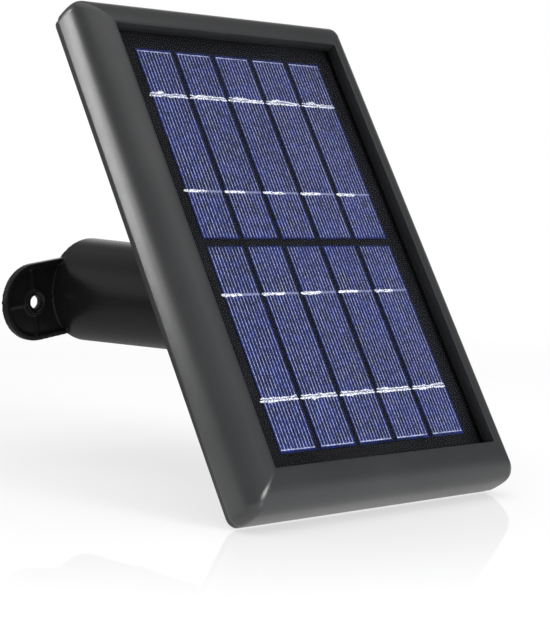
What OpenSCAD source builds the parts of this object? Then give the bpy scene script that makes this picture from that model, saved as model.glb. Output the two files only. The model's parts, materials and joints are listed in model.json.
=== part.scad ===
// Solar charging panel on a barrel-shaped wall mount: the head turns on the barrel, the yoke tilts
// on the head, and the panel spins on the yoke.
// Millimetres. The origin is the centre of the bracket's wall face, on the barrel's axis.
// +Z is up, the panel looks towards -Y, and +X is to the right seen from the front.

/* [Panel frame] */
// Panel width over the side walls
panel_w = 133; // [120:0.5:150]
// Panel height over the top and bottom walls
panel_h = 199.6; // [180:0.1:220]
// Width of the window that shows the cells
open_w = 109.9; // [95:0.1:125]
// Height of the window that shows the cells
open_h = 172.7; // [155:0.1:190]
// Depth from the front lip to the rear edge of the side walls
bezel_depth = 17.2; // [14:0.1:24]
// Moulded wall thickness of the bezel
bezel_wall = 2.4; // [1.5:0.1:3]
// Depth of the glass face under the front lip
glass_recess = 5.5; // [3:0.1:8]
// Outer corner radius of the panel
corner_r = 4.5; // [2:0.5:12]

/* [Cells] */
// Number of cells side by side in a row
cell_columns = 5; // [1:1:5]
// Width of one cell
cell_w = 16.9; // [12:0.1:18]
// Height of one cell, half of a 156 mm wafer
cell_h = 78.5; // [60:0.1:79]
// Distance between neighbouring cells, centre to centre
cell_pitch = 18.85; // [13:0.05:20]
// Gap between the upper and the lower row
row_gap = 3; // [1:0.1:6]
// Sideways shift of the cell block in the window
cells_dx = 1.8; // [-3:0.1:3]
// Upward shift of the cell block in the window
cells_dy = 0.4; // [-3:0.1:3]
// Thickness of a cell
cell_t = 0.2; // [0.1:0.05:0.4]

/* [Mount] */
// Barrel radius at the wall
barrel_r = 21; // [16:0.1:26]
// Barrel radius at its front end
barrel_front_r = 19.8; // [14:0.1:26]
// Barrel length from the wall
barrel_len = 62.4; // [55:0.1:95]
// Distance of each screw hole from the barrel's axis
ear_offset = 30.5; // [24:0.1:40]
// Radius of an ear's rounded end
ear_r = 15.4; // [10:0.1:20]
// Depth of the socket in the barrel's front end that the swivel flange turns in
socket_depth = 5.4; // [4:0.1:8]
// Thickness of an ear at its rim
ear_t = 3.2; // [2:0.1:8]
// Radius of the wall screw holes
screw_hole_r = 2.5; // [1.5:0.1:4]

/* [Joints] */
// Distance from the wall to the tilt bolt
pivot_from_wall = 75; // [72:0.5:110]
// Distance from the tilt bolt to the panel's front lip
pivot_to_lip = 54.6; // [50:0.1:60]
// Angle between the barrel's axis and the panel's normal in the rest pose
panel_tilt = 32.3; // [0:0.1:50]
// Spin of the panel about its normal in the rest pose
panel_spin = 9.2; // [0:0.1:45]
// Radius of the tilt bolt's shank
tilt_bolt_r = 3; // [2:0.1:4]
// Radius of the swivel stud
stud_r = 6; // [4:0.1:8]

/* [Hidden] */

// clearance left between two parts that only lie side by side
gap = 0.1;
// play between a turning shaft and its bore, on the radius
running_gap = 0.06;
// fineness of round faces
round_fn = 48;

// panel levels, measured from the front lip towards the back
glass_t = 1.0;
glass_z = -glass_recess;
cell_z = glass_z - glass_t - gap;
board_t = 1.2;
board_z = cell_z - cell_t - gap;
cover_t = 2;
cover_z = -bezel_depth - gap;
cover_back_z = cover_z - cover_t;
inner_lip_wall = 2.2;

// panel outlines
glass_w = open_w + 7;
glass_h = open_h + 7;
cover_w = panel_w - 1.6;
cover_h = panel_h - 1.6;
cell_half = (cell_h + row_gap) / 2;
block_h = 2 * cell_h + row_gap;

// the ears are level with the tilt bolt, rolled so that the panel's long edges lie level
ear_roll = atan(tan(panel_spin) * cos(panel_tilt));

// yoke and swivel sizes
tongue_w = 16;
tongue_r = 10.5;
cheek_t = 4;
cheek_x = tongue_w / 2 + 0.9;
cheek_out = cheek_x + cheek_t;
yoke_base_r = 16;
yoke_base_t = 5;
plate_t = 4;
hub_r = 14;
hub_h = 5;
bore_r = tilt_bolt_r + running_gap;
head_gap = 0.9;
socket_r = 17.2;
flange_r = 16.9;
flange_t = 5;
barrel_front_t = 5;
swivel_face = barrel_len - socket_depth;
barrel_wall = 2.6;

// colours
plastic = [0.16, 0.165, 0.17];
dark_plastic = [0.09, 0.09, 0.095];
silicon = [0.09, 0.12, 0.42];
tinned = [0.78, 0.79, 0.82];
steel = [0.62, 0.63, 0.65];
rubber = [0.05, 0.05, 0.05];

// Puts a part drawn around the tilt bolt, x along the bolt and z along the panel's normal, in place.
module on_pivot() {
  translate([0, -pivot_from_wall, 0])
    rotate([0, -ear_roll, 0])
      rotate([90 - panel_tilt, 0, 0])
        children();
}

// Puts a panel part, drawn with the lip at z = 0, in place.
module on_panel() {
  on_pivot()
    translate([0, 0, pivot_to_lip])
      rotate([0, 0, -panel_spin])
        children();
}

// Turns +z to -y, so that a part is drawn from the wall outwards.
module from_wall(y = 0) {
  translate([0, -y, 0])
    rotate([90, 0, 0])
      children();
}

// Corner points of a rounded rectangle.
function rounded_points(w, h, r, steps = 6) = [
  for (corner = [0:3])
    for (i = [0:steps])
      let (a = 90 * corner + 90 * i / steps,
           sx = (corner == 0 || corner == 3) ? 1 : -1,
           sy = (corner < 2) ? 1 : -1)
        [sx * (w / 2 - r) + r * cos(a), sy * (h / 2 - r) + r * sin(a)]
];

// A flat plate with rounded corners, from z0 up by t.
module plate(w, h, t, z0, r = 1) {
  translate([0, 0, z0])
    linear_extrude(t)
      polygon(rounded_points(w, h, r));
}

// A box centred in x and y that starts at z0.
module bar(w, h, t, z0) {
  translate([-w / 2, -h / 2, z0])
    cube([w, h, t]);
}

// A round rod along z from z0.
module rod(r, l, z0 = 0) {
  translate([0, 0, z0])
    cylinder(r = r, h = l, $fn = round_fn);
}

// A round rod along x, centred on x = 0.
module cross_rod(r, l) {
  rotate([0, 90, 0])
    cylinder(r = r, h = l, center = true, $fn = round_fn);
}

// A flat ring.
module ring(ro, ri, t, z0 = 0) {
  difference() {
    rod(ro, t, z0);
    rod(ri, t + 2, z0 - 1);
  }
}

// Half of the bezel's section: [share of the rim's width, height under the lip].
bezel_section = [[1, -bezel_depth], [1, -10], [0.98, -8], [0.91, -6.2],
                 [0.80, -4.4], [0.66, -3.0], [0.45, -1.6], [0.22, -0.6], [0, 0]];

// Full-width section polygon, grown inwards by the wall thickness when cut is set.
function section_points(open, outer, cut) = let (rim = (outer - open) / 2 - cut, half = open / 2)
  concat([for (p = bezel_section) [half + p[0] * rim, p[1] - cut]],
         [for (i = [len(bezel_section) - 1:-1:0])
           let (p = bezel_section[i]) [-half - p[0] * rim, p[1] - cut]]);

// The pillow shape whose edges meet in mitres at the corners.
module pillow(cut = 0) {
  intersection() {
    rotate([90, 0, 0])
      linear_extrude(panel_h + 2, center = true)
        polygon(section_points(open_w, panel_w, cut));
    rotate([90, 0, 90])
      linear_extrude(panel_w + 2, center = true)
        polygon(section_points(open_h, panel_h, cut));
    plate(panel_w - 2 * cut, panel_h - 2 * cut, bezel_depth + 2 * cut + 2,
          -bezel_depth - 2 * cut - 1, max(corner_r - cut, 1));
  }
}

// Places of the six cover screws.
cover_screw_x = open_w / 2 + 6.3;
cover_screw_y = open_h / 2 + 7.2;
cover_screw_places = [for (x = [-1, 1]) for (y = [-1, 0, 1]) [x * cover_screw_x, y * cover_screw_y]];

// Front frame: shaped skin, side walls, a short wall around the window and six screw bosses.
module front_bezel() {
  color(plastic) on_panel() difference() {
    union() {
      difference() {
        pillow();
        difference() {
          pillow(bezel_wall);
          plate(open_w + 2 * inner_lip_wall, open_h + 2 * inner_lip_wall, glass_recess,
                -glass_recess + 0.6, 1);
        }
      }
      for (p = cover_screw_places)
        translate([p[0], p[1], 0])
          rod(2.5, bezel_depth - 4.6, -bezel_depth);
    }
    plate(open_w, open_h, bezel_depth + 4, -bezel_depth - 2, 0.4);
    for (p = cover_screw_places)
      translate([p[0], p[1], 0])
        rod(1.3, 9, -bezel_depth - 1);
  }
}

// Soft ring that holds the glass against the window's wall.
module glass_gasket() {
  color(rubber) on_panel() difference() {
    plate(open_w + 2 * inner_lip_wall, open_h + 2 * inner_lip_wall, 0.4, -glass_recess + 0.1, 1);
    plate(open_w + 0.6, open_h + 0.6, 2, -glass_recess - 1, 0.4);
  }
}

// Clear front sheet.
module cover_glass() {
  color([0.75, 0.82, 0.9, 0.3]) on_panel()
    plate(glass_w, glass_h, glass_t, glass_z - glass_t, 1.5);
}

// Centre of cell i: 0 to 4 in the upper row, 5 to 9 in the lower row.
function cell_centre(i) = [
  cells_dx + ((i % cell_columns) - (cell_columns - 1) / 2) * cell_pitch,
  cells_dy + (i < cell_columns ? cell_half : -cell_half)
];

// One cell, cut from a half wafer.
module solar_cell(i) {
  color(silicon) on_panel()
    translate([cell_centre(i)[0], cell_centre(i)[1], cell_z - cell_t])
      translate([-cell_w / 2, -cell_h / 2, 0])
        cube([cell_w, cell_h, cell_t]);
}

module solar_cell_1() { solar_cell(0); }
module solar_cell_2() { solar_cell(1); }
module solar_cell_3() { solar_cell(2); }
module solar_cell_4() { solar_cell(3); }
module solar_cell_5() { solar_cell(4); }
module solar_cell_6() { solar_cell(5); }
module solar_cell_7() { solar_cell(6); }
module solar_cell_8() { solar_cell(7); }
module solar_cell_9() { solar_cell(8); }
module solar_cell_10() { solar_cell(9); }

// Tinned ribbons over the five cells of a row, one piece a cell.
ribbon_t = 0.06;
module tab_ribbon(i, share, w) {
  color(tinned) on_panel()
    for (c = [0:cell_columns - 1])
      let (centre = cell_centre(i + c))
        translate([centre[0] - cell_w / 2 - 0.8, centre[1] + (share - 0.5) * cell_h - w / 2,
                   cell_z + 0.02])
          cube([cell_w + 0.9, w, ribbon_t]);
}

module tab_ribbon_1() { tab_ribbon(0, 0.747, 1.5); }
module tab_ribbon_2() { tab_ribbon(0, 0.24, 1.0); }
module tab_ribbon_3() { tab_ribbon(cell_columns, 0.754, 1.0); }
module tab_ribbon_4() { tab_ribbon(cell_columns, 0.245, 1.5); }

// Places of the two contact pins that join the cells to the charge board.
pin_places = [[-6, -52], [6, -52]];

// Stiff black board that carries the cells.
module cell_backboard() {
  color(dark_plastic) on_panel() difference() {
    plate(glass_w, glass_h, board_t, board_z - board_t, 1.5);
    for (p = pin_places)
      translate([p[0], p[1], 0])
        rod(0.6, board_t + 2, board_z - board_t - 1);
  }
}

// Foam strips that press the board forward.
foam_t = board_z - board_t - cover_z - 2 * gap;
module foam_pads() {
  color([0.2, 0.2, 0.21]) on_panel()
    for (x = [-44, 44])
      for (y = [-46, 46])
        translate([x, y, 0])
          bar(8, 60, foam_t, cover_z + gap);
}

// Places of the mount plate's screws and of the charge board's screws.
plate_screw_places = [for (x = [-1, 1]) for (y = [-1, 1]) [x * 18, y * 17]];
board_centre = [0, -52];
board_screw_places = [[-18, -60], [18, -44]];
gland_place = [0, -80];
gland_r = 6;
gland_bore_r = 2.6;

// Rear cover: flat tray with a raised field, a rib inside the bezel and bosses.
module rear_cover() {
  color(plastic) on_panel() difference() {
    union() {
      plate(cover_w, cover_h, cover_t, cover_back_z, corner_r - 0.8);
      difference() {
        plate(glass_w - 1.5, glass_h - 1.5, 4, cover_z - 0.5, 1.5);
        plate(glass_w - 4.5, glass_h - 4.5, 9, cover_z - 2, 1.5);
      }
      for (p = board_screw_places)
        translate([p[0], p[1], 0])
          rod(3, 3.5, cover_z - 0.5);
    }
    for (p = cover_screw_places)
      translate([p[0], p[1], 0]) {
        rod(1.7, cover_t + 2, cover_back_z - 1);
        rod(2.9, 1.1, cover_back_z - 0.1);
      }
    for (p = board_screw_places)
      translate([p[0], p[1], 0])
        rod(1.1, 3.5, cover_z - 0.4);
    for (p = plate_screw_places)
      translate([p[0], p[1], 0])
        rod(2.2, cover_t + 2, cover_back_z - 1);
    translate([gland_place[0], gland_place[1], 0])
      rod(gland_r + gap, cover_t + 2, cover_back_z - 1);
  }
}

// Cross-slotted pan-head screw along z, head down at z0 and shank upwards.
module pan_screw(shank_r, l, head_r, head_t, z0) {
  difference() {
    union() {
      rod(head_r, head_t, z0);
      rod(shank_r, l, z0 + head_t - 0.01);
    }
    for (a = [0, 90])
      rotate([0, 0, a])
        bar(head_r * 1.1, 0.7, head_t * 0.5 + 1, z0 - 1);
  }
}

// Six screws that hold the cover to the bezel.
module cover_screws() {
  color(steel) on_panel()
    for (p = cover_screw_places)
      translate([p[0], p[1], 0])
        pan_screw(1.2, 7, 2.6, 0.9, cover_back_z);
}

// Charge board and what is soldered to it.
charge_t = 1.6;
charge_z = cover_z + 3.1;
charge_top = charge_z + charge_t;
module charge_board() {
  color([0.05, 0.25, 0.12]) on_panel() difference() {
    translate([board_centre[0], board_centre[1], 0])
      bar(44, 26, charge_t, charge_z);
    for (p = board_screw_places)
      translate([p[0], p[1], 0])
        rod(1.3, charge_t + 2, charge_z - 1);
    for (p = pin_places)
      translate([p[0], p[1], 0])
        rod(0.6, charge_t + 2, charge_z - 1);
  }
}

module charge_inductor() {
  color([0.22, 0.22, 0.24]) on_panel()
    translate([-14, -48, 0])
      bar(6, 6, 2.8, charge_top + 0.05);
}

module charge_controller() {
  color(dark_plastic) on_panel()
    translate([13, -57, 0])
      bar(5, 4, 1.2, charge_top + 0.05);
}

module blocking_diode() {
  color(dark_plastic) on_panel()
    translate([0, -44.5, 0])
      bar(5, 2.8, 1.8, charge_top + 0.05);
}

module output_connector() {
  color([0.85, 0.84, 0.8]) on_panel() difference() {
    translate([0, -60.8, 0])
      bar(8, 7, 3.2, charge_top + 0.05);
    translate([0, -62.8, 0])
      bar(6.4, 7, 2.2, charge_top + 0.55);
  }
}

// Two pins from the cell board down to the charge board.
module header_pins() {
  color([0.8, 0.65, 0.3]) on_panel()
    for (p = pin_places)
      translate([p[0], p[1], 0])
        rod(0.5, board_z - charge_z - 0.3, charge_z + 0.1);
}

module board_screws() {
  color(steel) on_panel()
    for (p = board_screw_places)
      translate([p[0], p[1], charge_top + 0.05])
        rotate([180, 0, 0])
          pan_screw(1.0, 3.6, 2.0, 1.0, -1.0);
}

// Cable gland: threaded body, domed cap, rubber seal and inner nut. The cable is left out.
module on_gland() {
  on_panel()
    translate([gland_place[0], gland_place[1], cover_back_z])
      rotate([180, 0, 0])
        children();
}

module gland_body() {
  color(dark_plastic) on_gland() difference() {
    union() {
      rod(gland_r, 5.6, -5.5);
      translate([0, 0, gap])
        cylinder(r = 9, h = 4, $fn = 6);
      rod(gland_r, 5, 4);
    }
    rod(gland_bore_r, 20, -8);
    rod(4.1, 6, 5);
  }
}

module gland_cap() {
  color(dark_plastic) on_gland() difference() {
    union() {
      translate([0, 0, 4.3])
        cylinder(r = 8.6, h = 5.2, $fn = 6);
      translate([0, 0, 9.4])
        cylinder(r1 = 7.2, r2 = 4.6, h = 3, $fn = round_fn);
    }
    rod(gland_r + 0.1, 5.6, 4);
    rod(3, 20, 0);
  }
}

module gland_seal() {
  color(rubber) on_gland()
    ring(4.0, gland_bore_r, 4.2, 5.1);
}

module gland_locknut() {
  color(dark_plastic) on_gland() difference() {
    translate([0, 0, -5.2])
      cylinder(r = 8.6, h = 3, $fn = 6);
    rod(gland_r + 0.1, 6, -7);
  }
}

// Levels from the lip back to the yoke: mount plate, hub, washer, yoke base.
plate_top = cover_back_z - gap;
hub_top = plate_top - plate_t;
hub_bottom = hub_top - hub_h;
yoke_top = pivot_to_lip + hub_bottom - 0.9;
yoke_bottom = yoke_top - yoke_base_t;
stud_screw_r = 3;

// Round-hubbed plate on the rear cover that the yoke's screw goes into.
module mount_plate() {
  color(plastic) on_panel() difference() {
    union() {
      plate(46, 44, plate_t, hub_top, 4);
      rod(hub_r, hub_h + 1, hub_bottom);
      for (a = [0:45:315])
        rotate([0, 0, a])
          translate([hub_r + 1, 0, 0])
            bar(6, 1.6, 4, hub_top - 3);
    }
    rod(5.05, 10, hub_bottom + 2);
    rod(stud_screw_r + 0.3, 20, hub_bottom - 1);
    for (p = plate_screw_places)
      translate([p[0], p[1], 0])
        rod(2.2, plate_t + 2, hub_top - 1);
  }
}

// Threaded brass insert in the hub.
module hub_insert() {
  color([0.75, 0.6, 0.28]) on_panel()
    ring(5, stud_screw_r + running_gap, hub_h + plate_t - 2.3, hub_bottom + 2.1);
}

module plate_screws() {
  color(steel) on_panel()
    for (p = plate_screw_places)
      translate([p[0], p[1], 0])
        pan_screw(2, plate_t + cover_t + 2.4, 3.6, 2.2, hub_top - 2.3);
}

// Steel plate inside the cover that the plate screws bite into.
module backing_plate() {
  color(steel) on_panel() difference() {
    plate(44, 42, 1.5, cover_z + gap, 3);
    for (p = plate_screw_places)
      translate([p[0], p[1], 0])
        rod(2.05, 8, cover_z - 2);
  }
}

// Screw on the panel's normal that the panel spins about, head between the yoke's cheeks.
module spin_screw() {
  color(steel) on_pivot()
    pan_screw(stud_screw_r, 15, 5.5, 2.6, yoke_bottom - 2.7);
}

module spin_washer() {
  color([0.8, 0.79, 0.75]) on_pivot()
    ring(12.5, stud_screw_r + 0.2, 0.7, yoke_top + 0.1);
}

// Yoke: round base and two cheeks around the tongue.
module tilt_yoke() {
  color(plastic) on_pivot() difference() {
    union() {
      rod(yoke_base_r, yoke_base_t, yoke_bottom);
      for (s = [-1, 1])
        translate([s * (cheek_x + cheek_t / 2), 0, 0])
          cross_rod(tongue_r + 0.5, cheek_t);
      intersection() {
        for (s = [-1, 1])
          translate([s * (cheek_x + cheek_t / 2), 0, 0])
            bar(cheek_t, 2 * tongue_r + 1, yoke_bottom + 1, 0);
        rod(yoke_base_r + 1, yoke_bottom + 1);
      }
    }
    cross_rod(bore_r, 60);
    rod(stud_screw_r + running_gap, 30, 12);
  }
}

// Tilt bolt along x: round head on the left, thread into the knob on the right.
bolt_right = cheek_out + 6.4;
module tilt_bolt() {
  color(steel) on_pivot() difference() {
    union() {
      translate([(bolt_right - cheek_out - 0.1) / 2, 0, 0])
        cross_rod(tilt_bolt_r, bolt_right + cheek_out + 0.1);
      translate([-cheek_out - 0.1 - 2, 0, 0])
        cross_rod(6, 4);
    }
    translate([-cheek_out - 4.1, 0, 0])
      rotate([0, 90, 0])
        cylinder(r = 2.3, h = 4.4, center = true, $fn = 6);
  }
}

// Two plastic friction washers between the tongue and the cheeks.
module tilt_washers() {
  color([0.8, 0.79, 0.75]) on_pivot()
    for (s = [-1, 1])
      translate([s * (tongue_w / 2 + 0.45), 0, 0])
        difference() {
          cross_rod(8, 0.6);
          cross_rod(bore_r + 0.1, 2);
        }
}

// Fluted knob that clamps the tilt, with a brass nut moulded in.
knob_t = 9;
knob_x = cheek_out + 0.3;
module clamp_knob() {
  color(dark_plastic) on_pivot()
    translate([knob_x, 0, 0])
      rotate([0, 90, 0])
        difference() {
          rod(10.5, knob_t);
          for (a = [0:60:300])
            rotate([0, 0, a])
              translate([12, 0, 0])
                rod(3, knob_t + 2, -1);
          rod(5.05, 7.2, -0.5);
        }
}

module knob_insert() {
  color([0.75, 0.6, 0.28]) on_pivot()
    translate([knob_x + 3.3, 0, 0])
      difference() {
        cross_rod(5, 6);
        cross_rod(bore_r + 0.02, 10);
      }
}

// Outline of one ear: a lobe around the screw hole, tangent band back to the barrel.
module lobe(r, z0, t) {
  translate([ear_offset, 0, 0])
    rod(r, t, z0);
  translate([0, -r, z0])
    cube([ear_offset, 2 * r, t]);
}

// Wall bracket: hollow barrel with a bored front wall and two ribbed ears.
ear_rim = 2;
ear_floor = 1.6;
module wall_bracket() {
  color(plastic) from_wall() rotate([0, 0, ear_roll]) difference() {
    union() {
      cylinder(r1 = barrel_r, r2 = barrel_front_r, h = barrel_len, $fn = 2 * round_fn);
      for (a = [0, 180])
        rotate([0, 0, a])
          difference() {
            lobe(ear_r, 0, ear_t);
            difference() {
              lobe(ear_r - ear_rim, ear_floor, ear_t);
              translate([ear_offset, 0, 0])
                rod(5, ear_t, 0);
              translate([ear_offset, 0, 0])
                bar(1.2, 2 * ear_r, ear_t - 1.2, 0);
              translate([0, -0.6, 0])
                cube([ear_offset + ear_r - 1, 1.2, ear_t - 1.2]);
            }
          }
    }
    rod(barrel_r - barrel_wall, swivel_face - barrel_front_t + 1, -1);
    rod(stud_r + running_gap, barrel_len + 2, 0);
    rod(socket_r, socket_depth + 1, swivel_face);
    for (a = [0, 180])
      rotate([0, 0, a])
        translate([ear_offset, 0, 0]) {
          rod(screw_hole_r, ear_t + 2, -1);
          rod(3.8, 2, ear_t - 0.8);
        }
  }
}

// Swivel head: stud in the barrel, round flange and a tongue that takes the tilt bolt.
head_y = swivel_face + head_gap;
module swivel_head() {
  color(plastic) rotate([0, -ear_roll, 0]) difference() {
    union() {
      from_wall(head_y)
        rod(flange_r, flange_t);
      from_wall(swivel_face - barrel_front_t - 1.4)
        rod(stud_r, barrel_front_t + 1.4 + head_gap + 1);
      translate([-tongue_w / 2, -pivot_from_wall, -tongue_r])
        cube([tongue_w, pivot_from_wall - head_y - flange_t + 1, 2 * tongue_r]);
      translate([0, -pivot_from_wall, 0])
        cross_rod(tongue_r, tongue_w);
    }
    translate([0, -pivot_from_wall, 0])
      cross_rod(bore_r, tongue_w + 4);
    from_wall(swivel_face - barrel_front_t - 3)
      rod(1.7, 15);
  }
}

module swivel_washer() {
  color([0.8, 0.79, 0.75])
    from_wall(swivel_face + 0.15)
      ring(12, stud_r + 0.15, 0.6);
}

module swivel_o_ring() {
  color(rubber)
    from_wall(swivel_face + head_gap / 2)
      rotate_extrude($fn = round_fn)
        translate([15, 0])
          circle(r = 0.4, $fn = 16);
}

// Washer, spring and screw that hold the stud from inside the barrel.
inner_face = swivel_face - barrel_front_t;
module wave_spring() {
  color(steel)
    from_wall(inner_face - 1.1)
      ring(10, stud_r + 0.15, 1.0);
}

module retaining_washer() {
  color(steel)
    from_wall(inner_face - 2.9)
      ring(11, 2.2, 1.4);
}

module swivel_screw() {
  color(steel)
    from_wall(inner_face - 5.5)
      pan_screw(1.65, 12, 4, 2.5, 0);
}

front_bezel();
glass_gasket();
cover_glass();
solar_cell_1();
solar_cell_2();
solar_cell_3();
solar_cell_4();
solar_cell_5();
solar_cell_6();
solar_cell_7();
solar_cell_8();
solar_cell_9();
solar_cell_10();
tab_ribbon_1();
tab_ribbon_2();
tab_ribbon_3();
tab_ribbon_4();
cell_backboard();
foam_pads();
rear_cover();
cover_screws();
charge_board();
charge_inductor();
charge_controller();
blocking_diode();
output_connector();
header_pins();
board_screws();
gland_body();
gland_cap();
gland_seal();
gland_locknut();
mount_plate();
hub_insert();
plate_screws();
backing_plate();
tilt_yoke();
spin_screw();
spin_washer();
tilt_bolt();
tilt_washers();
clamp_knob();
knob_insert();
wall_bracket();
swivel_head();
swivel_washer();
swivel_o_ring();
retaining_washer();
wave_spring();
swivel_screw();
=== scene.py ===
"""Solar charging panel on a barrel wall mount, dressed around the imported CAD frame."""
import json
import math
import random

import bmesh
import bpy
from mathutils import Matrix, Vector, noise


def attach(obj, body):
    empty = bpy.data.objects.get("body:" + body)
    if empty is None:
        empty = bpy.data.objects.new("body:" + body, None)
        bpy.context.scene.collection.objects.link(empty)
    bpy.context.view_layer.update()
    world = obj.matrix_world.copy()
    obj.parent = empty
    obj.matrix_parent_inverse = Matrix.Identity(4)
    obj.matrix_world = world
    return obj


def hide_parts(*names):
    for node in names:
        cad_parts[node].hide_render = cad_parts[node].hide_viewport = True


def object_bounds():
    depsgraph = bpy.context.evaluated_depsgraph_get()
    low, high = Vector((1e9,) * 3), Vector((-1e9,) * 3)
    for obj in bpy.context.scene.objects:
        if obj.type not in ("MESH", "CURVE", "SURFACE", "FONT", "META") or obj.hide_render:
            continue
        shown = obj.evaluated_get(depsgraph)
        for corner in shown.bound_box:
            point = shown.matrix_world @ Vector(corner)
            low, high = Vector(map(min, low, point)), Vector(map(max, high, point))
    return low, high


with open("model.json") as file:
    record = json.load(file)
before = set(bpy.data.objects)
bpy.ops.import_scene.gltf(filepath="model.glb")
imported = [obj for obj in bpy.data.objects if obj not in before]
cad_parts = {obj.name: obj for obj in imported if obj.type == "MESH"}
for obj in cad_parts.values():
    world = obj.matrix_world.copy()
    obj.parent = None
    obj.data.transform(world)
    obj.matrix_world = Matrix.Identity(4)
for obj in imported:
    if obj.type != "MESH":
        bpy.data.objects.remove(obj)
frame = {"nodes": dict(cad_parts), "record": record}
cad_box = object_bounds()
NODES = frame["nodes"]
RECORD = frame["record"]
SLOT = {part["node"]: part["material_slot"] for part in RECORD["subparts"]}
BODY = {node: body for body, nodes in RECORD["behaviour"]["bodies"].items() for node in nodes}

# ------------------------------------------------------------------ sizes in mm, as in the CAD source
MM = 0.001
PIVOT_FROM_WALL = 75.0
PIVOT_TO_LIP = 54.6
PANEL_TILT = math.radians(32.3)
PANEL_SPIN = math.radians(9.2)
EAR_ROLL = math.atan(math.tan(PANEL_SPIN) * math.cos(PANEL_TILT))
PANEL_W, PANEL_H = 133.0, 199.6
OPEN_W, OPEN_H = 109.9, 172.7
BEZEL_DEPTH = 17.2
BEZEL_WALL = 2.4
CORNER_R = 4.5
# levels behind the front lip
GLASS_BACK = -6.5
CELL_TOP = -6.6
CELL_COLUMNS = 5
CELL_W, CELL_H = 16.9, 78.5
CELL_PITCH, ROW_GAP = 18.85, 3.0
CELLS_DX, CELLS_DY = 1.8, 0.4

# the tilt bolt's frame: x along the bolt, z along the panel's normal
PIVOT = (
    Matrix.Translation((0, -PIVOT_FROM_WALL * MM, 0))
    @ Matrix.Rotation(-EAR_ROLL, 4, "Y")
    @ Matrix.Rotation(math.radians(90) - PANEL_TILT, 4, "X")
)
# the panel's frame: the middle of the front lip, x to the right, y up the panel, z out of its face
PANEL = PIVOT @ Matrix.Translation((0, 0, PIVOT_TO_LIP * MM)) @ Matrix.Rotation(-PANEL_SPIN, 4, "Z")


# ------------------------------------------------------------------ material helpers
def smooth_step(tree, value, start, end, first, last):
    """Maps a value that runs from start to end to first..last, easing in and out."""
    made = tree.nodes.new("ShaderNodeMapRange")
    made.interpolation_type = "SMOOTHSTEP"
    for key, number in (("From Min", start), ("From Max", end), ("To Min", first), ("To Max", last)):
        made.inputs[key].default_value = number
    tree.links.new(value, made.inputs["Value"])
    return made.outputs["Result"]


def mix_shaders(tree, fac, first, second):
    """The first shader where fac is 0, the second where it is 1."""
    made = tree.nodes.new("ShaderNodeMixShader")
    for socket, source in zip(made.inputs, (fac, first, second)):
        tree.links.new(source, socket)
    return made.outputs[0]


class Shader:
    """A material's nodes, with short calls for what every material here needs."""

    def __init__(self, name):
        self.mat = bpy.data.materials.new(name)
        self.mat.use_nodes = True
        self.tree = self.mat.node_tree
        self.bsdf = self.tree.nodes["Principled BSDF"]
        self.out = self.tree.nodes["Material Output"]

    def node(self, kind, **props):
        made = self.tree.nodes.new(kind)
        for key, value in props.items():
            setattr(made, key, value)
        return made

    def link(self, source, target):
        self.tree.links.new(source, target)

    def set(self, **values):
        """Sets sockets of the Principled shader; an underscore stands for a space."""
        for key, value in values.items():
            self.bsdf.inputs[key.replace("_", " ")].default_value = value

    def coords(self):
        """Object coordinates in millimetres."""
        source = self.node("ShaderNodeTexCoord")
        scaled = self.node("ShaderNodeVectorMath", operation="SCALE")
        scaled.inputs["Scale"].default_value = 1 / MM
        self.link(source.outputs["Object"], scaled.inputs[0])
        return scaled.outputs[0]

    def noise(self, vector, scale, detail=3.0, rough=0.5):
        made = self.node("ShaderNodeTexNoise")
        made.inputs["Scale"].default_value = scale
        made.inputs["Detail"].default_value = detail
        made.inputs["Roughness"].default_value = rough
        self.link(vector, made.inputs["Vector"])
        return made.outputs["Fac"]

    def grains(self, vector, scale, channel):
        """A random value per Voronoi cell."""
        cells = self.node("ShaderNodeTexVoronoi")
        cells.inputs["Scale"].default_value = scale
        self.link(vector, cells.inputs["Vector"])
        split = self.node("ShaderNodeSeparateColor")
        self.link(cells.outputs["Color"], split.inputs[0])
        return split.outputs[channel]

    def ramp(self, fac, stops):
        made = self.node("ShaderNodeValToRGB")
        points = made.color_ramp.elements
        while len(points) < len(stops):
            points.new(0.5)
        for point, (place, colour) in zip(points, stops):
            point.position = place
            point.color = (*colour, 1)
        self.link(fac, made.inputs["Fac"])
        return made.outputs["Color"]

    def math(self, op, a, b):
        made = self.node("ShaderNodeMath", operation=op)
        for socket, value in zip(made.inputs, (a, b)):
            if isinstance(value, (int, float)):
                socket.default_value = value
            else:
                self.link(value, socket)
        return made.outputs[0]

    def span(self, fac, low, high):
        """Maps 0..1 to low..high."""
        made = self.node("ShaderNodeMapRange")
        made.inputs["To Min"].default_value = low
        made.inputs["To Max"].default_value = high
        self.link(fac, made.inputs["Value"])
        return made.outputs["Result"]

    def colour(self, fac, dark, light, start=0.3, end=0.7):
        self.link(self.ramp(fac, [(start, dark), (end, light)]), self.bsdf.inputs["Base Color"])

    def rough(self, fac, low, high):
        self.link(self.span(fac, low, high), self.bsdf.inputs["Roughness"])

    def bump(self, height, strength, distance_mm):
        made = self.node("ShaderNodeBump")
        made.inputs["Strength"].default_value = strength
        made.inputs["Distance"].default_value = distance_mm * MM
        self.link(height, made.inputs["Height"])
        self.link(made.outputs["Normal"], self.bsdf.inputs["Normal"])


def moulded_plastic(name, dark, light, rough, grain=0.03, specular=0.5):
    """Moulded plastic: fine erosion grain, slight cloudiness in colour and gloss."""
    s = Shader(name)
    v = s.coords()
    s.colour(s.noise(v, 0.035, 4.0), dark, light)
    s.rough(s.noise(v, 0.2), *rough)
    s.bump(s.noise(v, 3.0, 2.0, 0.6), 0.3, grain)
    s.set(Specular_IOR_Level=specular)
    return s.mat


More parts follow.
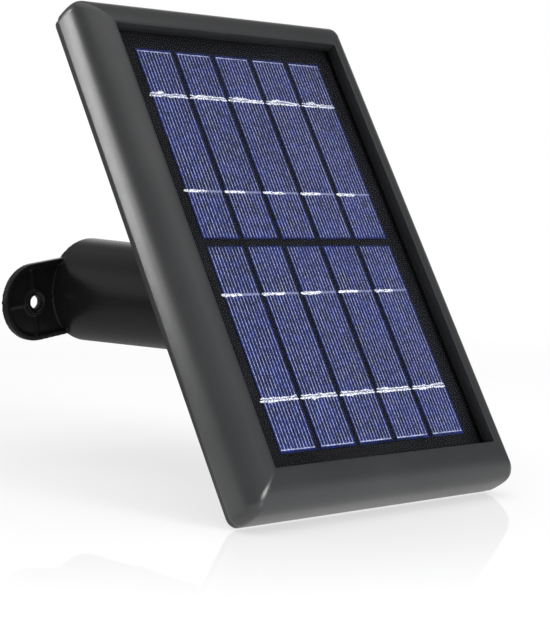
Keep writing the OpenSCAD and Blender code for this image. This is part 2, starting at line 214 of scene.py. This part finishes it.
def metal(name, colour, rough, bump):
    """Plated or turned metal with faint mottling."""
    s = Shader(name)
    v = s.coords()
    s.colour(s.noise(v, 1.4, 4.0, 0.65), [c * 0.78 for c in colour], colour)
    s.rough(s.noise(v, 3.0, 2.0), *rough)
    s.bump(s.noise(v, 6.0), 0.3, bump)
    s.set(Metallic=1.0)
    return s.mat


def rubber(name, colour):
    s = Shader(name)
    v = s.coords()
    s.colour(s.noise(v, 0.3), colour, [c * 1.6 for c in colour], 0.2, 0.8)
    s.rough(s.noise(v, 1.5), 0.6, 0.8)
    s.bump(s.noise(v, 4.0), 0.4, 0.04)
    return s.mat


def clear_sheet(name):
    """Clear front sheet under a satin coating that glares little. It lets lamps through to the cells."""
    s = Shader(name)
    s.set(Base_Color=(0.95, 0.97, 1.0, 1), Roughness=0.0, Transmission_Weight=1.0, IOR=1.06)
    s.set(Coat_Weight=0.3, Coat_IOR=1.18)
    haze = s.span(s.noise(s.coords(), 0.05, 2.0), 0.14, 0.2)
    s.link(haze, s.bsdf.inputs["Coat Roughness"])
    clear = s.node("ShaderNodeBsdfTransparent")
    shadow_ray = s.node("ShaderNodeLightPath").outputs["Is Shadow Ray"]
    sheet = mix_shaders(s.tree, shadow_ray, s.bsdf.outputs[0], clear.outputs[0])
    s.link(sheet, s.out.inputs["Surface"])
    return s.mat


def silicon(name):
    """Blue polycrystalline silicon: angular grains of slightly different blue."""
    s = Shader(name)
    v = s.coords()
    coarse = s.math("MULTIPLY", s.grains(v, 0.42, 0), 0.45)
    fine = s.math("MULTIPLY", s.grains(v, 1.1, 1), 0.35)
    drift = s.math("MULTIPLY", s.noise(v, 0.02, 2.0), 0.2)
    mixed = s.math("ADD", s.math("ADD", coarse, fine), drift)
    deep, blue, pale = (0.001, 0.003, 0.022), (0.002, 0.006, 0.060), (0.005, 0.015, 0.115)
    s.link(s.ramp(mixed, [(0.2, deep), (0.5, blue), (0.85, pale)]), s.bsdf.inputs["Base Color"])
    s.rough(mixed, 0.35, 0.5)
    s.set(Specular_IOR_Level=0.1)
    return s.mat


def board(name, dark, light):
    s = Shader(name)
    v = s.coords()
    s.colour(s.noise(v, 0.06, 5.0), dark, light)
    s.rough(s.noise(v, 0.5), 0.45, 0.6)
    s.set(Specular_IOR_Level=0.05)
    return s.mat


def silver_print(name, colour, thin):
    """Screen-printed silver paste: matt and pale, thin in places so that the silicon dulls it."""
    s = Shader(name)
    v = s.coords()
    s.colour(s.noise(v, 1.3, 2.0), [c * thin for c in colour], colour, 0.44, 0.56)
    s.rough(s.noise(v, 3.0), 0.4, 0.6)
    return s.mat


def solder(name):
    """Hand-soldered tin: bright, with painted shade in its dark creases."""
    s = Shader(name)
    v = s.coords()
    # the near-black patches of this noise are painted shade in the solder's creases; the bright rest is the
    # tin's own colour
    crease_shade = s.noise(v, 2.2, 4.0, 0.6)
    s.colour(crease_shade, (0.02, 0.02, 0.024), (0.90, 0.90, 0.89), 0.43, 0.50)
    s.rough(s.noise(v, 4.0), 0.3, 0.5)
    s.bump(s.noise(v, 1.6), 0.7, 0.18)
    s.set(Metallic=0.3)
    return s.mat


MATS = {
    "frame_plastic": moulded_plastic(
        "frame_plastic", (0.026, 0.027, 0.0285), (0.032, 0.033, 0.0345), (0.28, 0.34), grain=0.012),
    # darker than the frame's plastic: partly the mount's own blacker plastic, partly painted shade for the
    # lower light that falls on the mount
    "mount_plastic": moulded_plastic(
        "mount_plastic", (0.0105, 0.0106, 0.011), (0.013, 0.0132, 0.0138), (0.24, 0.30), specular=0.2),
    "trim_plastic": moulded_plastic(
        "trim_plastic", (0.010, 0.010, 0.010), (0.016, 0.016, 0.016), (0.28, 0.4)),
    "friction_plastic": moulded_plastic(
        "friction_plastic", (0.62, 0.60, 0.55), (0.72, 0.70, 0.66), (0.4, 0.5)),
    "window": clear_sheet("clear_sheet"),
    "silicon": silicon("silicon_blue"),
    "tinned_ribbon": metal("tinned_ribbon", (0.86, 0.86, 0.86), (0.25, 0.5), 0.05),
    "solder": solder("solder"),
    "silver_print": silver_print("silver_print", (0.47, 0.50, 0.62), 0.35),
    "busbar_print": silver_print("busbar_print", (0.20, 0.21, 0.32), 0.6),
    "board_black": board("board_black", (0.0048, 0.005, 0.0056), (0.0066, 0.0068, 0.0078)),
    "board_green": board("board_green", (0.010, 0.10, 0.035), (0.016, 0.14, 0.05)),
    "component_black": moulded_plastic(
        "component_black", (0.02, 0.02, 0.02), (0.035, 0.035, 0.035), (0.4, 0.5)),
    "connector_white": moulded_plastic(
        "connector_white", (0.66, 0.65, 0.6), (0.74, 0.73, 0.68), (0.4, 0.5)),
    "rubber_black": rubber("rubber_black", (0.012, 0.012, 0.012)),
    "foam_grey": rubber("foam_grey", (0.06, 0.06, 0.065)),
    "steel": metal("steel", (0.58, 0.58, 0.6), (0.22, 0.4), 0.02),
    "brass": metal("brass", (0.72, 0.52, 0.22), (0.22, 0.4), 0.02),
}


# ------------------------------------------------------------------ mesh helpers
def give(obj, mat):
    obj.data.materials.clear()
    obj.data.materials.append(MATS[mat])


def shade(mesh, angle):
    """Smooth shading, split at edges sharper than the angle."""
    bm = bmesh.new()
    bm.from_mesh(mesh)
    bmesh.ops.recalc_face_normals(bm, faces=bm.faces)
    limit = math.radians(angle)
    for e in bm.edges:
        e.smooth = len(e.link_faces) == 2 and e.calc_face_angle(0) < limit
    for f in bm.faces:
        f.smooth = True
    bm.to_mesh(mesh)
    bm.free()


def mesh_object(name, verts, faces, matrix):
    """An object from vertices in millimetres in the matrix's frame. Its mesh carries its place."""
    mesh = bpy.data.meshes.new(name)
    mesh.from_pydata([matrix @ (Vector(v) * MM) for v in verts], [], faces)
    mesh.validate()
    obj = bpy.data.objects.new(name, mesh)
    bpy.context.scene.collection.objects.link(obj)
    return obj


def finish_piece(obj, body, mat, slot, *nodes, angle=35):
    shade(obj.data, angle)
    give(obj, mat)
    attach(obj, body)
    if nodes:
        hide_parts(*nodes)
    return obj


def evaluate(obj):
    """Applies the object's modifiers to its mesh."""
    graph = bpy.context.evaluated_depsgraph_get()
    mesh = bpy.data.meshes.new_from_object(obj.evaluated_get(graph))
    obj.modifiers.clear()
    obj.data = mesh


def cad_copy(node):
    """A welded copy of a CAD node's mesh, its flat faces whole."""
    bm = bmesh.new()
    bm.from_mesh(NODES[node].data)
    bm.transform(NODES[node].matrix_world)
    bmesh.ops.remove_doubles(bm, verts=bm.verts, dist=2e-6)
    bmesh.ops.dissolve_limit(bm, angle_limit=math.radians(0.5), verts=bm.verts, edges=bm.edges)
    mesh = bpy.data.meshes.new(node + "_soft")
    bm.to_mesh(mesh)
    bm.free()
    obj = bpy.data.objects.new(node + "_soft", mesh)
    bpy.context.scene.collection.objects.link(obj)
    return obj


def softened(node, width, segments=2, angle=30):
    """A copy of a CAD node with small rounds along its sharp edges, which stands for the node."""
    obj = cad_copy(node)
    bevel = obj.modifiers.new("rounds", "BEVEL")
    bevel.width = width * MM
    bevel.segments = segments
    bevel.limit_method = "ANGLE"
    bevel.angle_limit = math.radians(angle)
    bevel.miter_outer = "MITER_ARC"
    evaluate(obj)
    finish_piece(obj, BODY[node], SLOT[node], SLOT[node], node)
    weighted = obj.modifiers.new("face_weights", "WEIGHTED_NORMAL")
    weighted.keep_sharp = True
    return obj


def loop_points(half_w, half_h, r, arc=10, side=6):
    """Points around a rounded rectangle, the same number for every call, counter-clockwise."""
    pts = []
    centres = ((half_w - r, half_h - r, 0), (-half_w + r, half_h - r, 90),
               (-half_w + r, -half_h + r, 180), (half_w - r, -half_h + r, 270))
    for k, (cx, cy, start) in enumerate(centres):
        for i in range(arc + 1):
            a = math.radians(start + 90 * i / arc)
            pts.append((cx + r * math.cos(a), cy + r * math.sin(a)))
        nx, ny, nstart = centres[(k + 1) % 4]
        a = math.radians(nstart)
        end = (nx + r * math.cos(a), ny + r * math.sin(a))
        last = pts[-1]
        for i in range(1, side):
            f = i / side
            pts.append((last[0] + (end[0] - last[0]) * f, last[1] + (end[1] - last[1]) * f))
    return pts


def swept_ring(name, stations, matrix):
    """Skins rounded-rectangle loops given as (half_w, half_h, radius, z) into a closed ring."""
    verts, faces = [], []
    for w, h, r, z in stations:
        verts += [(x, y, z) for x, y in loop_points(w, h, r)]
    n = len(verts) // len(stations)
    for k in range(len(stations)):
        a, b = k * n, (k + 1) % len(stations) * n
        for i in range(n):
            j = (i + 1) % n
            faces.append((a + i, a + j, b + j, b + i))
    return mesh_object(name, verts, faces, matrix)


# ------------------------------------------------------------------ front bezel
RIM_X = (PANEL_W - OPEN_W) / 2
RIM_Y = (PANEL_H - OPEN_H) / 2
# the rim's crown: share of the rim's width from the window outwards, and depth under the lip
CROWN = [
    (0, 0), (0.22, -0.6), (0.45, -1.6), (0.66, -3.0), (0.80, -4.4),
    (0.91, -6.2), (0.97, -8.2), (0.995, -11.0), (1.0, -13.6), (0.993, -16.4),
]
# points past its two ends that steer the curve there
CROWN_BEFORE = (-0.22, 0.1)
CROWN_AFTER = (0.98, -18.5)
# the stretch of the curve that the inside of the wall follows
INNER_STRETCH = slice(4, 35)
LIP_R = 0.35
LIP_STEPS = 4
LIP_LEVEL = -0.05
# corner radii of the window and of the crown's start
WINDOW_CORNER = 0.4
CROWN_CORNER = 0.6
# the short wall around the window: the level of its foot, and its thickness
FOOT_Z = -4.9
SHORT_WALL = 2.2


def between(a, b, c, d, t):
    """The value at share t of the way from b to c on a Catmull-Rom curve through all four."""
    line = 2 * b + (c - a) * t
    bend = (2 * a - 5 * b + 4 * c - d) * t * t
    twist = (3 * b - a - 3 * c + d) * t ** 3
    return 0.5 * (line + bend + twist)


def crown_curve(steps=5):
    """A smooth curve through the crown's points."""
    pts = [CROWN_BEFORE] + CROWN + [CROWN_AFTER]
    out = []
    for k in range(1, len(pts) - 2):
        for i in range(steps):
            out.append(tuple(between(*values, i / steps) for values in zip(*pts[k - 1:k + 3])))
    out.append(CROWN[-1])
    return out


def bezel():
    """The front frame: a ring of rounded rectangles from the window over the crown and back inside."""
    stations = []

    def at(share, inset, z, radius):
        """Adds a rectangle that share of the rim's width outside the window, less the inset."""
        stations.append((OPEN_W / 2 + share * RIM_X - inset, OPEN_H / 2 + share * RIM_Y - inset, radius, z))

    # up the short wall around the window, then round the lip
    at(0, -SHORT_WALL, FOOT_Z, 2.0)
    at(0, -0.3, FOOT_Z, 0.7)
    at(0, 0.0, FOOT_Z + 0.3, WINDOW_CORNER)
    at(0, 0.0, -2.5, WINDOW_CORNER)
    for i in range(LIP_STEPS + 1):
        a = math.radians(90 * i / LIP_STEPS)
        z = -LIP_R * (1 - math.sin(a)) + LIP_LEVEL
        at(0, -LIP_R * (1 - math.cos(a)), z, WINDOW_CORNER + 0.3 * i / LIP_STEPS)
    curve = crown_curve()
    for share, z in curve:
        if share * RIM_X > LIP_R + 0.25:
            at(share, 0, z, CROWN_CORNER + (CORNER_R - CROWN_CORNER) * share ** 2)
    # the rear edge, then back up inside the wall
    at(1, 0.2, -BEZEL_DEPTH + 0.4, CORNER_R)
    at(1, 0.35, -BEZEL_DEPTH + 0.1, CORNER_R)
    at(1, 0.7, -BEZEL_DEPTH, CORNER_R - 0.4)
    at(1, BEZEL_WALL, -BEZEL_DEPTH, CORNER_R - 2)
    inner_r = CORNER_R - BEZEL_WALL
    for share, z in reversed(curve[INNER_STRETCH]):
        inner_x = max(share * RIM_X - BEZEL_WALL, SHORT_WALL)
        inner_y = max(share * RIM_Y - BEZEL_WALL, SHORT_WALL)
        stations.append((OPEN_W / 2 + inner_x, OPEN_H / 2 + inner_y, inner_r, z - BEZEL_WALL))
    return swept_ring("bezel", stations, PANEL)


BEZEL = finish_piece(bezel(), "panel", "frame_plastic", "frame_plastic", "front_bezel", angle=50)


# ------------------------------------------------------------------ cells, their printed lines and ribbons
def cell_centre(i):
    col = i % CELL_COLUMNS - (CELL_COLUMNS - 1) / 2
    row = 1 if i < CELL_COLUMNS else -1
    return CELLS_DX + col * CELL_PITCH, CELLS_DY + row * (CELL_H + ROW_GAP) / 2


def box_part(verts, faces, x0, y0, z0, x1, y1, z1):
    """Adds a box to the lists."""
    b = len(verts)
    verts += [(x, y, z) for z in (z0, z1) for y in (y0, y1) for x in (x0, x1)]
    faces += [(b, b + 2, b + 3, b + 1), (b + 4, b + 5, b + 7, b + 6), (b, b + 1, b + 5, b + 4),
              (b + 2, b + 6, b + 7, b + 3), (b, b + 4, b + 6, b + 2), (b + 1, b + 3, b + 7, b + 5)]


FINGERS = 11
FINGER_PITCH = 1.5
FINGER_W = 0.22
# thickness of the print, and how deep it and the busbars sink into the cell
PRINT_T = 0.018
PRINT_SINK = 0.005
BUSBAR_SINK = 0.004
# how much higher than the fingers the busbars are
BUSBAR_RISE = 0.008
# distances of the line that joins the fingers, and of the fingers' other ends, from the cell's ends
EDGE_LINE = 1.1
FINGER_END = 0.5
JOIN_LINE_W = 0.4
# how far the joining line reaches past the outermost fingers
JOIN_LINE_OVER = 0.4
# distances of the busbars from the middle of the cell block, and their width
BUSBARS = (20.6, 60.4)
BUSBAR_W = 0.85
# distance of a busbar's ends from the cell's edges
BUSBAR_END = 0.3


def fingers(i):
    """Printed silver lines of one cell: fingers, and the line that joins them at the outer end."""
    rnd = random.Random(100 + i)
    verts, faces = [], []
    cx, cy = cell_centre(i)
    outer = 1 if i < CELL_COLUMNS else -1
    far = cy + outer * (CELL_H / 2 - EDGE_LINE)
    near = cy - outer * (CELL_H / 2 - FINGER_END)
    z0, z1 = CELL_TOP - PRINT_SINK, CELL_TOP + PRINT_T
    for k in range(FINGERS):
        x = cx + FINGER_PITCH * (k - (FINGERS - 1) / 2)
        half = FINGER_W * rnd.uniform(0.85, 1.15) / 2
        box_part(verts, faces, x - half, min(far, near), z0, x + half, max(far, near), z1)
    reach = FINGER_PITCH * (FINGERS - 1) / 2 + JOIN_LINE_OVER
    half = JOIN_LINE_W / 2
    box_part(verts, faces, cx - reach, far - half, z0, cx + reach, far + half, z1)
    return mesh_object("cell_fingers_%d" % (i + 1), verts, faces, PANEL)


def busbars(i):
    """The two wide printed lines across one cell."""
    verts, faces = [], []
    cx, _ = cell_centre(i)
    side = 1 if i < CELL_COLUMNS else -1
    reach = CELL_W / 2 - BUSBAR_END
    z0, z1 = CELL_TOP - BUSBAR_SINK, CELL_TOP + PRINT_T + BUSBAR_RISE
    for busbar in BUSBARS:
        y = side * busbar + CELLS_DY
        box_part(verts, faces, cx - reach, y - BUSBAR_W / 2, z0, cx + reach, y + BUSBAR_W / 2, z1)
    return mesh_object("cell_busbars_%d" % (i + 1), verts, faces, PANEL)


for i in range(2 * CELL_COLUMNS):
    finish_piece(fingers(i), "panel", "silver_print", "tinned_ribbon")
    finish_piece(busbars(i), "panel", "busbar_print", "tinned_ribbon")


# points across a strand's round top, and about how far apart its outlines are
STRAND_POINTS = 7
STRAND_STEP = 0.3
# the solder's own thickness, and how far above the cell and below the glass it stays
SOLDER_T = 0.085
SOLDER_LIFT = 0.002
GLASS_CLEAR = 0.005


def strand(verts, faces, x0, x1, y, half_w, thick, wander, seed):
    """A lumpy soldered strand along x: flat below, uneven above, with wandering edges."""
    section = STRAND_POINTS
    steps = max(8, int((x1 - x0) / STRAND_STEP))
    base = len(verts)
    for i in range(steps + 1):
        x = x0 + (x1 - x0) * i / steps
        end = min(1.0, (min(i, steps - i) + 0.35) / 2)
        drift = wander * noise.noise(Vector((x * 0.35, seed, 0.0)))
        up = half_w * end * (1 + wander * 2.2 * noise.noise(Vector((x * 1.3, seed, 4.0))))
        down = half_w * end * (1 + wander * 2.2 * noise.noise(Vector((x * 1.3, seed, 9.0))))
        for k in range(section):
            a = math.pi * k / (section - 1)
            side = up if k < section / 2 else down
            lump = 1 + 0.35 * noise.noise(Vector((x * 2.0, seed + k, 2.0)))
            z = CELL_TOP + SOLDER_LIFT + thick * end * math.sin(a) * lump
            verts.append((x, y + drift + side * math.cos(a), min(z, GLASS_BACK - GLASS_CLEAR)))
    for i in range(steps):
        a, b = base + i * section, base + (i + 1) * section
        for k in range(section - 1):
            faces.append((a + k, b + k, b + k + 1, a + k + 1))
        faces.append((a + section - 1, b + section - 1, b, a))
    faces.append(tuple(base + k for k in range(section)))
    faces.append(tuple(base + steps * section + k for k in reversed(range(section))))


# how far a ribbon piece reaches past the cell's left edge
RIBBON_LEAD = 1.1


def ribbon(number, y, heavy):
    """The soldered ribbon along one line of cells, a piece for each cell. Heavy ones carry more solder."""
    rnd = random.Random(40 + number)
    verts, faces = [], []
    side = 1 if y > 0 else -1
    for col in range(CELL_COLUMNS):
        cx, _ = cell_centre(col)
        left, right = cx - CELL_W / 2 - RIBBON_LEAD, cx + CELL_W / 2
        seed = 10 * number + col
        if heavy:
            # two strands side by side, and a blob on their outer side
            strand(verts, faces, left, right + 0.1, y - 0.52, 0.34, SOLDER_T, 0.35, seed)
            strand(verts, faces, left + 0.6, right - 0.3, y + 0.46, 0.30, SOLDER_T, 0.45, seed + 0.5)
            blob = left + rnd.uniform(3.0, 4.5)
            blob_end = blob + rnd.uniform(3.5, 5.0)
            strand(verts, faces, blob, blob_end, y + side * 0.75, 0.5, 0.09, 0.6, seed + 0.7)
        else:
            # one strand over part of the cell, and a thin one along its edge
            end = left + rnd.uniform(9.6, 11.4)
            strand(verts, faces, left, end, y, 0.48, SOLDER_T, 0.25, seed)
            thin_end = end + rnd.uniform(-1.5, 0.8)
            thin_y = y + rnd.choice((-0.45, 0.45))
            strand(verts, faces, left + 0.8, thin_end, thin_y, 0.18, 0.08, 0.4, seed + 0.5)
    return mesh_object("soldered_ribbon_%d" % number, verts, faces, PANEL)


RIBBON_LINES = (BUSBARS[1], BUSBARS[0], -BUSBARS[0], -BUSBARS[1])
for number, y in enumerate(RIBBON_LINES, 1):
    piece = ribbon(number, y + CELLS_DY, abs(y) == BUSBARS[1])
    finish_piece(piece, "panel", "solder", "tinned_ribbon", "tab_ribbon_%d" % number)


# ------------------------------------------------------------------ CAD nodes with softened edges
def moulded(node, voxel, passes):
    """A copy of a CAD node skinned again on a fine grid, so that edges and inner corners flow as moulded."""
    obj = cad_copy(node)
    grid = obj.modifiers.new("grid", "REMESH")
    grid.mode = "VOXEL"
    grid.voxel_size = voxel * MM
    ease = obj.modifiers.new("ease", "SMOOTH")
    ease.factor = 0.5
    ease.iterations = passes
    evaluate(obj)
    return finish_piece(obj, BODY[node], SLOT[node], SLOT[node], node, angle=60)


moulded("wall_bracket", voxel=0.4, passes=3)

# widths of the rounds, in mm
SOFT_EDGES = {
    "swivel_head": 0.5, "tilt_yoke": 0.6, "mount_plate": 0.5, "clamp_knob": 0.6,
    "rear_cover": 0.5, "gland_body": 0.25, "gland_cap": 0.25, "gland_locknut": 0.2,
    "cover_screws": 0.12, "plate_screws": 0.15, "spin_screw": 0.2, "tilt_bolt": 0.25,
}
for node, width in SOFT_EDGES.items():
    softened(node, width)

for node, obj in NODES.items():
    if not obj.hide_render:
        give(obj, SLOT[node])

# ------------------------------------------------------------------ camera
# its place and the point on the panel that it looks at, in mm, its roll, and its lens for a 36 mm sensor
CAMERA_PLACE = (-485.13, -537.96, 52.74)
CAMERA_AIM = (-35.95, -135.09, 2.27)
CAMERA_ROLL = math.radians(2.176)
CAMERA_LENS = 100.84

cam_data = bpy.data.cameras.new("camera")
cam_data.sensor_width = 36
cam_data.lens = CAMERA_LENS
cam_data.clip_start, cam_data.clip_end = 0.01, 20
cam = bpy.data.objects.new("camera", cam_data)
bpy.context.scene.collection.objects.link(cam)
bpy.context.scene.camera = cam
place = Vector(CAMERA_PLACE) * MM
turn = (Vector(CAMERA_AIM) * MM - place).to_track_quat("-Z", "Y")
cam.matrix_world = (
    Matrix.Translation(place) @ turn.to_matrix().to_4x4() @ Matrix.Rotation(CAMERA_ROLL, 4, "Z")
)

# ------------------------------------------------------------------ floor, in metres
FLOOR_HALF = 6.0
FLOOR_DROP = 0.0003
# light that the floor gives to the camera, and to everything else around a place in front of the panel
FLOOR_GLOW = 0.68
FLOOR_BOUNCE = 0.88
BOUNCE_CENTRE = (-0.12, -0.22, 0)
BOUNCE_REACH = (0.12, 0.46)
# the mirror's share near the object, and the distances from its middle where mirror and wash start and end
MIRROR_SHARE = 0.18
MIRROR_REACH = (0.07, 0.23)
WASH_REACH = (0.36, 0.7)
low, high = cad_box
MIDDLE = Vector(((low[0] + high[0]) / 2, (low[1] + high[1]) / 2, 0))
floor_mesh = bpy.data.meshes.new("floor")
corners = [(x * FLOOR_HALF, y * FLOOR_HALF, 0) for x, y in ((-1, -1), (1, -1), (1, 1), (-1, 1))]
floor_mesh.from_pydata(corners, [], [(0, 1, 2, 3)])
floor = bpy.data.objects.new("floor", floor_mesh)
bpy.context.scene.collection.objects.link(floor)
floor.location = (MIDDLE.x, MIDDLE.y, low[2] - FLOOR_DROP)


def floor_white():
    """White acrylic that mirrors a little near the object and washes out to plain white further off."""
    s = Shader("floor_white")
    s.set(Base_Color=(0.4, 0.4, 0.4, 1), Roughness=0.9, Specular_IOR_Level=0.0)
    source = s.node("ShaderNodeTexCoord")

    def by_reach(reach, near_value, far_value, centre=(0, 0, 0)):
        """A value that changes with the distance from the centre, over the given stretch."""
        away = s.node("ShaderNodeVectorMath", operation="DISTANCE")
        s.link(source.outputs["Object"], away.inputs[0])
        away.inputs[1].default_value = centre
        return smooth_step(s.tree, away.outputs["Value"], *reach, near_value, far_value)

    seen = s.node("ShaderNodeLightPath").outputs["Is Camera Ray"]
    glow = s.node("ShaderNodeEmission")
    unseen = s.math("SUBTRACT", 1.0, seen)
    spread = by_reach(BOUNCE_REACH, FLOOR_BOUNCE, 0.0, BOUNCE_CENTRE)
    bounce = s.math("MULTIPLY", spread, unseen)
    s.link(s.math("ADD", s.math("MULTIPLY", seen, FLOOR_GLOW), bounce), glow.inputs["Strength"])
    lifted = s.node("ShaderNodeAddShader")
    s.link(s.bsdf.outputs[0], lifted.inputs[0])
    s.link(glow.outputs[0], lifted.inputs[1])
    gloss = s.node("ShaderNodeBsdfGlossy")
    gloss.inputs["Roughness"].default_value = 0.02
    mirror = by_reach(MIRROR_REACH, MIRROR_SHARE, 0.0)
    mirrored = mix_shaders(s.tree, mirror, lifted.outputs[0], gloss.outputs[0])
    white = s.node("ShaderNodeEmission")
    wash = s.math("MULTIPLY", by_reach(WASH_REACH, 0.0, 1.0), seen)
    s.link(mix_shaders(s.tree, wash, mirrored, white.outputs[0]), s.out.inputs["Surface"])
    return s.mat


floor_mesh.materials.append(floor_white())


# ------------------------------------------------------------------ light
# direction, cosine where it starts and where it is full, strength outside and inside
WORLD_LOBES = (
    # soft light from above on the left
    ((-0.55, 0.1, 0.83), 0.1, 0.75, 0.12, 0.5),
    # the backdrop that the floor mirrors
    ((0.68, 0.73, 0.08), 0.85, 0.97, 0.0, 0.9),
    # a faint glare on the glass
    ((0.75, -0.22, 0.62), 0.970, 0.995, 0.0, 0.3),
    # low light from behind on the left
    ((-0.63, 0.77, 0.1), 0.82, 0.97, 0.0, 0.5),
)


def studio_world():
    """Plain white to the camera, the lobes' light to everything else."""
    world = bpy.data.worlds.new("studio")
    bpy.context.scene.world = world
    world.use_nodes = True
    tree = world.node_tree
    soft = tree.nodes["Background"]
    soft.inputs["Color"].default_value = (1, 1, 1, 1)
    source = tree.nodes.new("ShaderNodeTexCoord")
    levels = []
    for towards, start, end, base, strength in WORLD_LOBES:
        facing = tree.nodes.new("ShaderNodeVectorMath")
        facing.operation = "DOT_PRODUCT"
        facing.inputs[1].default_value = Vector(towards).normalized()
        tree.links.new(source.outputs["Generated"], facing.inputs[0])
        levels.append(smooth_step(tree, facing.outputs["Value"], start, end, base, strength))
    total = levels[0]
    for level in levels[1:]:
        add = tree.nodes.new("ShaderNodeMath")
        tree.links.new(total, add.inputs[0])
        tree.links.new(level, add.inputs[1])
        total = add.outputs[0]
    tree.links.new(total, soft.inputs["Strength"])
    white = tree.nodes.new("ShaderNodeBackground")
    white.inputs["Color"].default_value = (1, 1, 1, 1)
    seen = tree.nodes.new("ShaderNodeLightPath").outputs["Is Camera Ray"]
    mixed = mix_shaders(tree, seen, soft.outputs[0], white.outputs[0])
    tree.links.new(mixed, tree.nodes["World Output"].inputs["Surface"])


studio_world()
# the point that every lamp is turned to
LAMP_AIM = Vector((0, -0.10, 0))


def lamp(name, place, size, power):
    """A rectangular lamp that the camera doesn't see."""
    data = bpy.data.lights.new(name, "AREA")
    data.shape = "RECTANGLE"
    data.size, data.size_y = size
    data.energy = power
    obj = bpy.data.objects.new(name, data)
    bpy.context.scene.collection.objects.link(obj)
    obj.location = place
    obj.rotation_euler = (LAMP_AIM - Vector(place)).to_track_quat("-Z", "Y").to_euler()
    obj.visible_camera = False
    return obj


# places and sizes in metres, powers in watts
lamp("top_soft", (-0.1, -0.2, 1.4), (1.6, 1.6), 8)
lamp("front_key", (0.0, -1.2, 0.26), (0.35, 0.35), 8)
edge_strip = lamp("edge_strip", (-0.52, 0.62, 0.02), (0.10, 0.9), 6)
# the strip lights the bezel alone, because it would put a stripe on the barrel
rim_only = bpy.data.collections.new("rim_only")
rim_only.objects.link(BEZEL)
edge_strip.light_linking.receiver_collection = rim_only

scene = bpy.context.scene
scene.view_settings.view_transform = "Standard"
scene.view_settings.look = "None"
